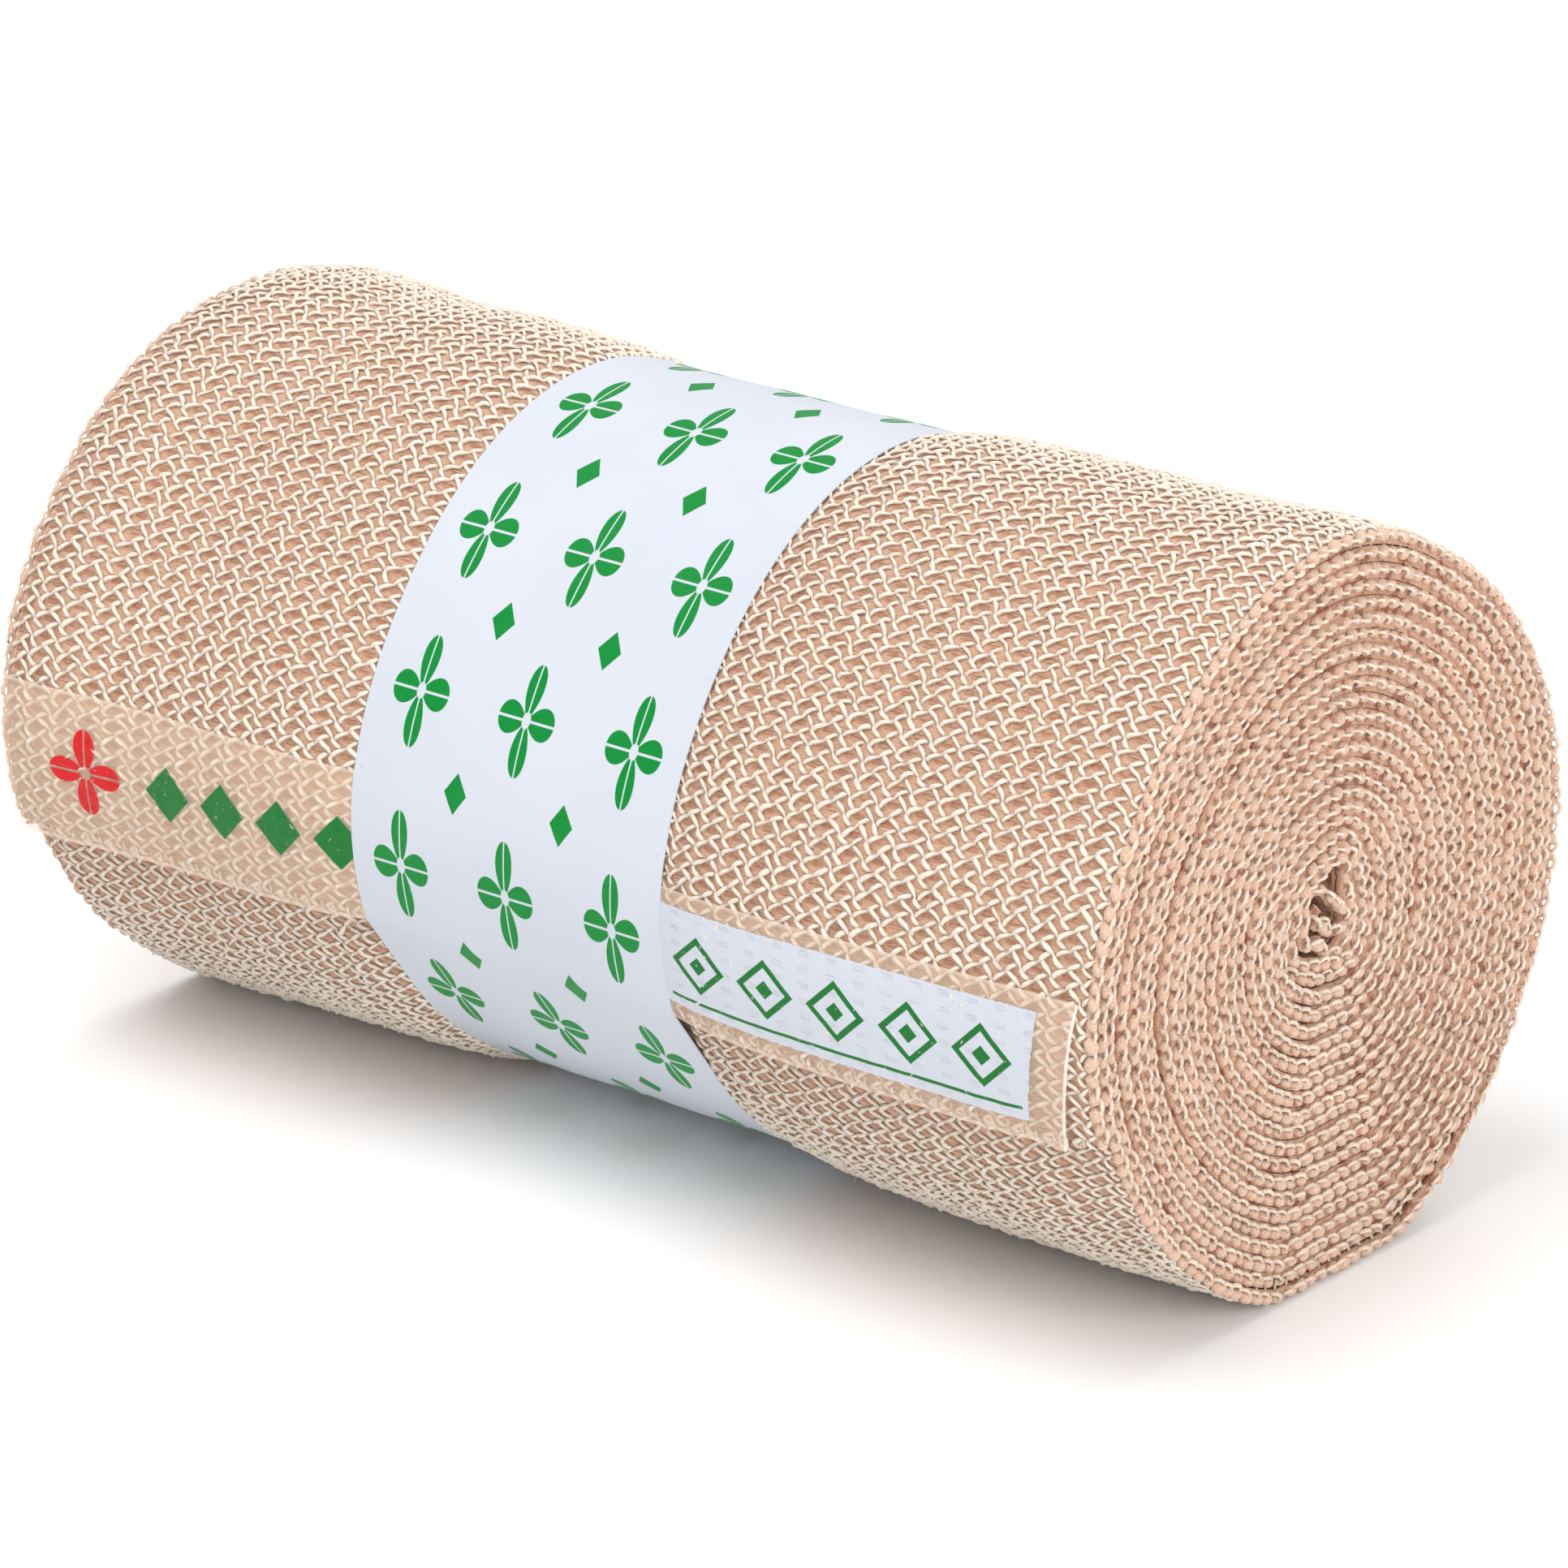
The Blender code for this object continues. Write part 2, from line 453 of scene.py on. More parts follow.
def maths(operation, *values):
    return add(tree_of(values), "ShaderNodeMath", dict(enumerate(values)), operation=operation)


def vector_maths(operation, *values):
    return add(tree_of(values), "ShaderNodeVectorMath", dict(enumerate(values)), operation=operation)


def joined(x=0.0, y=0.0, z=0.0):
    """A vector of three values."""
    return add(tree_of((x, y, z)), "ShaderNodeCombineXYZ", {"X": x, "Y": y, "Z": z})


def split(vector):
    """The three values of a vector."""
    made = vector.tree.nodes.new("ShaderNodeSeparateXYZ")
    connect(vector, made.inputs[0])
    return [Value(part) for part in made.outputs]


def ranged(value, low, high, start=0.0, end=1.0):
    """Carries low to high over to start to end, softly."""
    inputs = {"Value": value, "From Min": low, "From Max": high, "To Min": start, "To Max": end}
    return add(value.tree, "ShaderNodeMapRange", inputs, interpolation_type="SMOOTHSTEP")


def mixed(share, first, second):
    """A colour between two others."""
    return add(share.tree, "ShaderNodeMix", {0: share, 6: first, 7: second}, 2, data_type="RGBA")


def noise(place, scale, detail=2.0):
    return add(place.tree, "ShaderNodeTexNoise", {"Vector": place, "Scale": scale, "Detail": detail})


def on_object(tree):
    return add(tree, "ShaderNodeTexCoord", output="Object")


def flat_place(tree):
    return add(tree, "ShaderNodeAttribute", output="Vector", attribute_name="flat_place")


def node_group(name, kind, inputs):
    """Turns a function that fills a tree into one that returns the tree, filled at its first use.

    An input is named with its default, or with its type where it has none.
    """

    def named(fill):
        def group():
            if name in bpy.data.node_groups:
                return bpy.data.node_groups[name]
            tree = bpy.data.node_groups.new(name, kind)
            for label, default in inputs.items():
                socket = default if isinstance(default, str) else type(default).__name__.capitalize()
                made = tree.interface.new_socket(label, in_out="INPUT", socket_type="NodeSocket" + socket)
                if socket != default:
                    made.default_value = default
            given = {made.name: Value(made) for made in tree.nodes.new("NodeGroupInput").outputs}
            results = fill(tree, given)
            for label in results:
                socket = "Geometry" if kind == "GeometryNodeTree" else "Float"
                tree.interface.new_socket(label, in_out="OUTPUT", socket_type="NodeSocket" + socket)
            ends = tree.nodes.new("NodeGroupOutput").inputs
            for label, value in results.items():
                connect(value, ends[label])
            return tree

        return group

    return named


def placed_group(tree, group, inputs):
    """What a group puts out, each value by its name."""
    made = tree.nodes.new("ShaderNodeGroup")
    made.node_tree = group
    for key, value in inputs.items():
        connect(value, made.inputs[key])
    return {output.name: Value(output) for output in made.outputs}


def srgb(red, green, blue):
    """A colour on the 0 to 255 scale of a screen, as the linear one that the shaders take."""
    return tuple((c / 255) ** 2.2 for c in (red, green, blue)) + (1.0,)


@node_group("crepe_threads", "ShaderNodeTree", {
    "Place": "Vector",
    "Thread Length": 0.0014,
    "Thread Width": 0.00012,
    "Cell Width": 0.00288,
    "Cell Height": 0.00155,
    "First Column": 0.05586,
    "Near Shift": 0.00144,
})
def crepe_group(tree, given):
    """Fine threads that run along the roll, and the slits in each cell of the net: a mask for the shade
    that the net's upper strands cast there, painted into the ground's colour and pressed in as dents.
    """
    x, y, z = split(given["Place"])
    stretched = joined(x / given["Thread Length"], y / given["Thread Width"], z)
    near_side = maths("GREATER_THAN", x, 0.0)
    first = given["First Column"] - near_side * given["Near Shift"]
    columns = (first - abs(x)) / given["Cell Width"] * math.tau
    rows = (y - SHADED_SLIT_RISE) / given["Cell Height"] * math.tau
    column = maths("COSINE", columns)
    node = column * maths("COSINE", rows)
    # The slits lie under each node's arch; this mask marks painted shade there, not a colour of the cloth
    # itself
    cell = ranged(node, 0.15, -0.7) * ranged(column, -0.3, 0.4)
    broad = ranged(noise(stretched, 0.55), 0.38, 0.60, 0.25, 1.0)
    return {"Threads": noise(stretched, 1.0, 1.0), "Slits": cell * broad}


@node_group("cotton_fibre", "ShaderNodeTree", {"Fibre": 0.00012, "Blotch": 0.012})
def cotton_group(tree, given):
    """Loose cotton fibre and the slow unevenness of dyed yarn."""
    place = on_object(tree)
    fibre = noise(place, 1.0 / given["Fibre"], 3.0)
    blotch = noise(place, 1.0 / given["Blotch"])
    return {"Fibres": ranged(fibre, 0.3, 0.7), "Blotches": ranged(blotch, 0.35, 0.65)}


@node_group("leaf_mark", "ShaderNodeTree", {
    "Place": "Vector",
    "Half Width": 0.0031,
    "Half Height": 0.0050,
    "Softness": 0.03,
})
def leaf_group(tree, given):
    """A mark of four leaves with pale veins, centred on its place."""
    x, y, _ = split(given["Place"])
    wide = x / given["Half Width"]
    tall = y / given["Half Height"]
    radius = maths("SQRT", wide * wide + tall * tall)
    double = maths("ARCTAN2", tall, wide) * 2.0
    reach = maths("POWER", abs(maths("COSINE", double)), 0.8)
    leaf = ranged(reach - radius, 0.0, given["Softness"])
    heart = ranged(radius, 0.13, 0.16)
    vein = ranged(abs(maths("SINE", double)) * radius, 0.03, 0.06)
    return {"Mark": leaf * heart * vein}


def new_material(name):
    """A material, with its tree."""
    made = bpy.data.materials.new(name)
    made.use_nodes = True
    return made, made.node_tree


def shaded(made, inputs, height=None, depth=0.0, strength=1.0):
    """Gives a material's shader these inputs, and a bump of this height, and returns the material."""
    shader = made.node_tree.nodes["Principled BSDF"]
    if height is not None:
        raised = {"Height": height, "Distance": depth, "Strength": strength}
        inputs["Normal"] = add(made.node_tree, "ShaderNodeBump", raised)
    for key, value in inputs.items():
        connect(value, shader.inputs[key])
    return made


def cotton_inputs(colour, roughness, sheen, sheen_roughness):
    return {
        "Base Color": colour,
        "Roughness": roughness,
        "Sheen Weight": sheen,
        "Sheen Roughness": sheen_roughness,
    }


def net_phase(sizes):
    """Where the net's cells lie, for the group that draws their slits."""
    return {
        "Cell Width": sizes.cell_width,
        "Cell Height": sizes.cell_height,
        "First Column": HALF_WIDTH - sizes.margin - sizes.cell_width / 2,
        "Near Shift": sizes.cell_width / 2,
    }


def crepe_material(tones, sizes):
    """The peach ground of the cloth."""
    made, tree = new_material("crepe_ground")
    place = flat_place(tree)
    threads = placed_group(tree, crepe_group(), {"Place": place, **net_phase(sizes)})
    cotton = placed_group(tree, cotton_group(), {})
    x, y, turns_inside = split(place)
    inner_edge = HALF_WIDTH - sizes.margin
    edge = ranged(abs(x), inner_edge - 0.0014, inner_edge - 0.0006)
    knit = knit_mask(x, y)
    body = mixed(ranged(threads["Threads"], 0.3, 0.7), tones.ground_shade, tones.ground)
    # Painted shade: the slits under the net's arches are coloured darker, as if shaded by its strands
    body = mixed(threads["Slits"] * 0.90, body, tones.slit)
    body = mixed(edge * 0.85, body, mixed(knit, tones.ground_shade, tones.selvedge))
    # Painted shade: the inner turns, which show between the stitches on the roll's ends, are coloured
    # darker, more so in random patches
    deeper_shade_patches = ranged(noise(on_object(tree), 620.0, 1.0), 0.53, 0.62)
    between = mixed(deeper_shade_patches, tones.between, tones.pit)
    colour = mixed(turns_inside, body, between)
    colour = mixed(cotton["Blotches"] * 0.16, colour, tones.ground_shade)
    height = threads["Threads"] + cotton["Fibres"] * 0.3 + edge * knit * 1.6 - threads["Slits"]
    return shaded(made, cotton_inputs(colour, 0.95, 0.25, 0.6), height, 0.00016)


def knit_mask(x, y):
    """Rows of small stitches, for the bare margin of the cloth."""
    stray = (noise(joined(x, y), 900.0) - 0.5) * 3.4
    along = maths("SINE", y * 7950.0 + stray)
    across = maths("SINE", x * 8400.0 + stray)
    return ranged(along * 0.5 + across, -1.1, 0.9)


def yarn_material(tones):
    """Cream cotton yarn, with painted shade where it dips into the cloth."""
    made, tree = new_material("cream_yarn")
    fibres = placed_group(tree, cotton_group(), {"Fibre": 0.00010})["Fibres"]
    # Painted shade: the lower the yarn lies, the greyer it is coloured
    raised = ranged(split(flat_place(tree))[2], 0.00004, 0.00032)
    colour = mixed(raised, tones.yarn_low, tones.yarn)
    colour = mixed(fibres * 0.30, colour, tones.yarn_shade)
    return shaded(made, cotton_inputs(colour, 0.88, 0.2, 0.5), fibres, 0.00004)


def selvedge_material(name, light, dark, pale):
    """Knitted cotton at the cloth's edges."""
    made, tree = new_material(name)
    cotton = placed_group(tree, cotton_group(), {"Fibre": 0.00016, "Blotch": 0.003})
    colour = mixed(cotton["Fibres"], dark, light)
    colour = mixed(cotton["Blotches"] * 0.35, colour, pale)
    return shaded(made, cotton_inputs(colour, 0.92, 0.25, 0.5), cotton["Fibres"], 0.00007)


def wrapped(value, cell):
    """Repeats a length in cells that are centred on zero."""
    return maths("WRAP", value, cell / 2, -cell / 2)


def lozenge(across, up, reach, softness=0.0001):
    """1 inside a lozenge of this reach."""
    return ranged(abs(across) + abs(up), reach, reach - softness)


def paper_material(print_):
    """White coated paper with green leaves in rows, and small lozenges between them."""
    made, tree = new_material("printed_paper")
    x, y, _ = split(flat_place(tree))
    across = x - BAND_OFFSET
    column, row = print_.column_step, print_.row_step
    leaf_place = joined(wrapped(across, column), wrapped(y, row))
    leaf = placed_group(tree, leaf_group(), {"Place": leaf_place})["Mark"]
    between = wrapped(across + column / 2, column)
    beside = wrapped(y + row / 2, row)
    small = lozenge(between, beside * 0.7, 0.0013)
    inside = ranged(abs(across), PRINT_REACH + 0.0001, PRINT_REACH - 0.0001)
    mark = maths("MAXIMUM", leaf, small) * inside
    place = on_object(tree)
    cloudy = noise(place, 60.0)
    paper = mixed(ranged(cloudy, 0.3, 0.7), print_.paper, print_.paper_shade)
    thick = ranged(noise(place, 3500.0), 0.35, 0.6, 0.0, 0.3)
    ink = mixed(thick, print_.green, print_.green_deep)
    inputs = {
        "Base Color": mixed(mark, paper, ink),
        "Roughness": ranged(mark, 0.0, 1.0, 0.48, 0.40),
        "Specular IOR Level": 0.2,
    }
    return shaded(made, inputs, noise(place, 1500.0, 3.0) * 0.05 + cloudy, 0.00012, 0.6)


def film_material(tones, print_, sizes):
    """Clear film over the net, with an opaque white field and small green marks."""
    made, tree = new_material("clear_film")
    flat = flat_place(tree)
    x, up, _ = split(flat)
    place = on_object(tree)
    ragged = (noise(place, 2200.0) - 0.5) * 0.0003
    slant = up * (FILM_SLANT / STRIP_WIDTH)
    field = (
        ranged(up + ragged, FIELD_LOW - SOFT, FIELD_LOW + SOFT)
        * ranged(up + ragged, FIELD_HIGH + SOFT, FIELD_HIGH - SOFT)
        * ranged(x - slant + ragged, FIELD_NEAR + SOFT, FIELD_NEAR - SOFT)
        * ranged(x, BAND_OFFSET - 0.0001, BAND_OFFSET)
    )
    pits = ranged(noise(place, 1700.0), 0.33, 0.27)
    pitted = field * (1.0 - pits * 0.2)
    middle = up - MARKS_UP
    step = wrapped(x - RIGHT_MARK, RIGHT_STEP)
    outer, hollow, heart = (lozenge(step, middle, reach) for reach in (0.0031, 0.0023, 0.0010))
    line = ranged(abs(up - LINE_UP), 0.00022, 0.00014)
    right = ranged(x, 0.0155, 0.0157) * ranged(x, 0.0529, 0.0528)
    right_marks = maths("MAXIMUM", outer - hollow + heart, line) * right
    left = ranged(x, -0.0438, -0.0437) * ranged(x, -0.017, -0.018)
    left_marks = lozenge(wrapped(x - LEFT_MARK, LEFT_STEP), middle, 0.0026) * left
    worn = ranged(noise(place, 2100.0), 0.25, 0.31)
    green = maths("MAXIMUM", left_marks, right_marks) * worn
    leaf_inputs = {"Place": joined(x - LEAF_MARK, middle), "Half Width": 0.0040, "Half Height": 0.0040}
    red = placed_group(tree, leaf_group(), leaf_inputs)["Mark"] * worn
    end_cut = ranged(slant + FILM_NEAR - x + ragged, 0.00040, 0.00014)
    side_cut = ranged(maths("MINIMUM", up, STRIP_WIDTH - up), 0.00022, 0.00002, 0.0, 0.35)
    cut = maths("MAXIMUM", end_cut, side_cut)
    colour = mixed(cut, tones.film, tones.film_edge)
    for share, ink in ((pitted, print_.paper), (green, print_.green_deep), (red, print_.red)):
        colour = mixed(share, colour, ink)
    solid = maths("MAXIMUM", maths("MAXIMUM", green, red), pitted)
    solid = maths("MAXIMUM", solid, cut * 0.6)
    inputs = {
        "Base Color": colour,
        "Alpha": ranged(solid, 0.0, 1.0, 0.22, 0.98),
        "Roughness": ranged(field, 0.0, 1.0, 0.36, 0.55),
        "Specular IOR Level": 0.3,
    }
    dents = placed_group(tree, crepe_group(), {"Place": flat, **net_phase(sizes)})["Slits"]
    return shaded(made, inputs, noise(place, 700.0) - dents * 0.6, 0.00012)


def cut_edge_material(tones):
    """The film's whitish cut edge."""
    made, tree = new_material("film_edge")
    share = ranged(noise(on_object(tree), 900.0), 0.35, 0.65)
    colour = mixed(share, tones.film_edge, tones.yarn)
    return shaded(made, {"Base Color": colour, "Roughness": ranged(share, 0.0, 1.0, 0.35, 0.5)})


def floor_material(light):
    """A plain pale floor."""
    made, tree = new_material("pale_floor")
    shade = tuple(c * 0.985 for c in light[:3]) + (1.0,)
    colour = mixed(noise(on_object(tree), 40.0), light, shade)
    return shaded(made, {"Base Color": colour, "Roughness": 0.8})


# Geometry nodes


def scattered(tree, least, most, seed):
    """A vector that is drawn anew for each point."""
    return add(tree, "FunctionNodeRandomValue", {0: least, 1: most, "Seed": seed}, data_type="FLOAT_VECTOR")


def laid_on(tree, points, shape, turn, size):
    """The shape's mesh, laid on each of the points."""
    mesh = add(tree, "GeometryNodeObjectInfo", {"Object": shape}, "Geometry")
    inputs = {"Points": points, "Instance": mesh, "Rotation": turn, "Scale": size}
    return add(tree, "GeometryNodeInstanceOnPoints", inputs)


def covered(tree, mesh, material):
    """What a tree puts out: the mesh, smooth and with its material."""
    smooth = add(tree, "GeometryNodeSetShadeSmooth", {"Geometry": mesh})
    return {"Geometry": add(tree, "GeometryNodeSetMaterial", {"Geometry": smooth, "Material": material})}


@node_group("yarn_net", "GeometryNodeTree", {
    "Geometry": "Geometry",
    "Rising": "Object",
    "Falling": "Object",
    "Columns": 10,
    "Rows": 10,
    "Cell Width": 0.00288,
    "Cell Height": 0.00155,
    "Wander": 0.0003,
    "Seed": 1,
    "Material": "Material",
})
def net_tree(tree, given):
    """Lays one strand on each node of a staggered lattice: rising ones and falling ones by turns."""
    columns, rows, seed = given["Columns"], given["Rows"], given["Seed"]
    wide, tall = given["Cell Width"], given["Cell Height"]
    size = {"Size X": (columns - 1.0) * wide, "Size Y": (rows - 1.0) * tall}
    grid = add(tree, "GeometryNodeMeshGrid", {**size, "Vertices X": columns, "Vertices Y": rows})
    half = vector_maths("MULTIPLY", joined(wide, tall), (0.5, 0.5, 0.0))
    moved = add(tree, "GeometryNodeTransform", {"Geometry": grid, "Translation": half})
    turn = scattered(tree, (-0.10, -0.10, -0.09), (0.10, 0.10, 0.09), seed)
    scale = scattered(tree, (0.92, 0.90, 0.85), (1.06, 1.12, 1.15), seed + 7.0)
    both = tree.nodes.new("GeometryNodeJoinGeometry")
    for points, label in ((grid, "Rising"), (moved, "Falling")):
        connect(laid_on(tree, points, given[label], turn, scale), both.inputs[0])
    real = add(tree, "GeometryNodeRealizeInstances", {"Geometry": Value(both.outputs[0])})
    shifted = vector_maths("ADD", add(tree, "GeometryNodeInputPosition"), joined(z=seed))
    strays = []
    for grain, share in ((230.0, 1.0), (620.0, 1.25)):
        cloud = add(tree, "ShaderNodeTexNoise", {"Vector": shifted, "Scale": grain, "Detail": 1.0}, "Color")
        centred = vector_maths("SUBTRACT", cloud, (0.5, 0.5, 0.5))
        strays.append(vector_maths("MULTIPLY", centred, (2.2 * share, 1.7 * share, 0.25 * share)))
    stray = {0: vector_maths("ADD", *strays), "Scale": given["Wander"]}
    offset = add(tree, "ShaderNodeVectorMath", stray, operation="SCALE")
    bent = add(tree, "GeometryNodeSetPosition", {"Geometry": real, "Offset": offset})
    return covered(tree, bent, given["Material"])


@node_group("set_along_path", "GeometryNodeTree", {
    "Geometry": "Geometry",
    "Shape": "Object",
    "Turn": 0.2,
    "Least Size": 0.85,
    "Most Size": 1.15,
    "Seed": 1,
    "Material": "Material",
})
def row_tree(tree, given):
    """Sets a shape on each point of a path, upright along its out and facing along its along."""
    out, along = (
        add(tree, "GeometryNodeInputNamedAttribute", {"Name": label}, data_type="FLOAT_VECTOR")
        for label in ("out", "along")
    )
    axes = {"primary_axis": "Z", "secondary_axis": "X"}
    upright = add(tree, "FunctionNodeAxesToRotation", {0: out, 1: along}, **axes)
    most = joined(given["Turn"], given["Turn"], given["Turn"])
    tilt = scattered(tree, vector_maths("MULTIPLY", most, (-1.0, -1.0, -1.0)), most, given["Seed"])
    tilted = add(tree, "FunctionNodeRotateRotation", {0: upright, 1: tilt}, rotation_space="LOCAL")
    sizes = {2: given["Least Size"], 3: given["Most Size"], "Seed": given["Seed"] + 3.0}
    size = add(tree, "FunctionNodeRandomValue", sizes, 1, data_type="FLOAT")
    laid = laid_on(tree, given["Geometry"], given["Shape"], tilted, size)
    real = add(tree, "GeometryNodeRealizeInstances", {"Geometry": laid})
    return covered(tree, real, given["Material"])


def grown(piece, tree, values):
    """Runs a tree on the piece with these named inputs, and leaves its result as a plain mesh."""
    modifier = piece.modifiers.new("Made", "NODES")
    modifier.node_group = tree
    sockets = {item.name: item.identifier for item in tree.interface.items_tree if item.in_out == "INPUT"}
    for label, value in values.items():
        modifier[sockets[label]] = value
    bpy.context.view_layer.update()
    graph = bpy.context.evaluated_depsgraph_get()
    mesh = bpy.data.meshes.new_from_object(piece.evaluated_get(graph), depsgraph=graph)
    piece.modifiers.remove(modifier)
    piece.data = mesh
    mesh.name = piece.name
    return mesh


def points_of(mesh):
    points = np.empty(len(mesh.vertices) * 3, np.float32)
    mesh.vertices.foreach_get("co", points)
    return points.reshape(-1, 3).astype(float)


def set_points(mesh, points):
    mesh.vertices.foreach_set("co", np.asarray(points, np.float32).ravel())
    mesh.update()


def path_piece(name, points, along, out):
    """A piece of loose points, each with the two directions that a shape set on it takes."""
    mesh = bpy.data.meshes.new(name)
    mesh.from_pydata(np.asarray(points).tolist(), [], [])
    for label, vectors in (("along", along), ("out", out)):
        attribute = mesh.attributes.new(label, "FLOAT_VECTOR", "POINT")
        attribute.data.foreach_set("vector", np.asarray(vectors, np.float32).ravel())
    return made_object(name, mesh)


def finished(piece, slot_name, *materials):
    """Puts the piece on the frame's one body, with its materials. The slot name is not used."""
    if materials:
        piece.data.materials.clear()
        for made in materials:
            piece.data.materials.append(made)
    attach(piece, "root")
    return piece


def shown_material(name, make, *given):
    return bpy.data.materials.get(name) or make(*given)


# Sizes and colours


def length(label, about, default):
    return bpy.props.FloatProperty(
        name=label, description=about, default=default, min=0.0, unit="LENGTH", precision=5
    )


def tone(label, about, *colour):
    return bpy.props.FloatVectorProperty(
        name=label, description=about, default=srgb(*colour), size=4, subtype="COLOR", min=0.0, max=1.0
    )


class ClothSizes(bpy.types.PropertyGroup):
    cell_width: length("Cell width", "Width of one cell of the net, along the roll", 0.00288)
    cell_height: length("Cell height", "Height of one cell of the net, round the roll", 0.00155)
    yarn: length("Yarn", "Thickness of the cream yarn", 0.00041)
    wander: length("Wander", "How far the yarn strays from the even net", 0.00022)
    margin: length("Margin", "Bare selvedge at each edge of the cloth", 0.0002)
    loop_step: length("Loop step", "Length of cloth from one edge loop to the next", 0.00158)
    fuzz: bpy.props.IntProperty(name="Fuzz", description="Number of loose fibres", default=700, min=0)


class ClothTones(bpy.types.PropertyGroup):
    ground: tone("Ground", "The crepe ground", 226, 185, 157)
    ground_shade: tone("Ground shade", "Its darker threads", 204, 154, 120)
    # Painted shade: the tone of the net's cells where its strands shade them
    slit: tone("Slit", "The slits between its threads", 176, 114, 76)
    # These two tones are painted shade: the cloth between the turns, on the roll's ends, coloured darker
    # for the shade in those recesses, and darker still in patches
    between: tone("Between", "The cloth seen between the turns", 210, 161, 129)
    pit: tone("Pit", "The same where the stitches stand open", 158, 88, 50)
    selvedge: tone("Selvedge", "The cloth's margins", 239, 203, 179)
    selvedge_shade: tone("Selvedge shade", "Their darker fibres", 212, 167, 139)
    yarn: tone("Yarn", "The cream net", 247, 236, 221)
    # Painted shade of the net where it dips; the knitted edges reuse it as the tint of their blotches
    yarn_low: tone("Yarn, low", "The net where it dips", 220, 200, 180)
    yarn_shade: tone("Yarn shade", "Its darker fibres", 234, 218, 198)
    loop: tone("Edge loop", "The weft where it turns back", 254, 238, 220)
    loop_shade: tone("Edge loop shade", "Its darker fibres", 246, 220, 198)
    film: tone("Film", "The clear film's own tint", 248, 220, 194)
    film_edge: tone("Film edge", "The film's cut edge", 246, 238, 228)


class BandPrint(bpy.types.PropertyGroup):
    column_step: length("Column step", "From one column of leaves to the next", 0.0118)
    row_step: length("Row step", "From one row of leaves to the next", 0.0152)
    paper: tone("Paper", "The band's coated paper", 202, 206, 216)
    paper_shade: tone("Paper shade", "Its fainter clouds", 198, 203, 213)
    green: tone("Green", "The printed green", 0, 134, 56)
    green_deep: tone("Deep green", "Where the green lies thicker", 2, 112, 42)
    red: tone("Red", "The printed red", 206, 6, 20)


# Pieces


class WoundCloth(bpy.types.Operator):
    """Winds the crepe cloth into the roll"""

    bl_idname = "bandage.wound_cloth"
    bl_label = "Wound cloth"

    def execute(self, context):
        tones = context.scene.bandage_tones
        sizes = context.scene.bandage_sizes
        outer_turn = self.shell(np.linspace(0, 366, 184), 41, GROUND_DEPTH, GROUND_WALL, 0)
        turns_inside = self.shell(np.arange(363, CLOTH_END, 5.0), 5, INNER_DEPTH, INNER_WALL, 1)
        points = np.concatenate([outer_turn[0], turns_inside[0]])
        places = np.concatenate([outer_turn[2], turns_inside[2]])
        faces = np.concatenate([outer_turn[1], turns_inside[1] + len(outer_turn[0])])
        piece = slab_piece("wound_cloth", points, faces, places)
        finished(piece, "bandage_cloth", shown_material("crepe_ground", crepe_material, tones, sizes))
        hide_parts("bandage_roll")
        return {"FINISHED"}

    def shell(self, backs, columns, depth, wall, inside):
        """Points, faces and flat places of the cloth wound over these places."""
        share = np.linspace(-1, 1, columns)[None, :]
        back = backs[:, None]
        near = edge_x(1, back)
        far = edge_x(-1, back)
        x = far + (near - far) * (share + 1) / 2
        outer = on_roll(x, back, -depth)
        inner = on_roll(x, back, -depth - wall)
        points, faces = slab(outer, inner)
        along = length_at(np.broadcast_to(back, x.shape))
        # The third flat place is 1 where the ground takes the painted shade between the turns: the inner
        # turns and the outer turn's inner face
        flat = [np.stack([x, along, np.full(x.shape, kind)], axis=-1) for kind in (inside, 1)]
        return points, faces, np.concatenate([f.reshape(-1, 3) for f in flat])


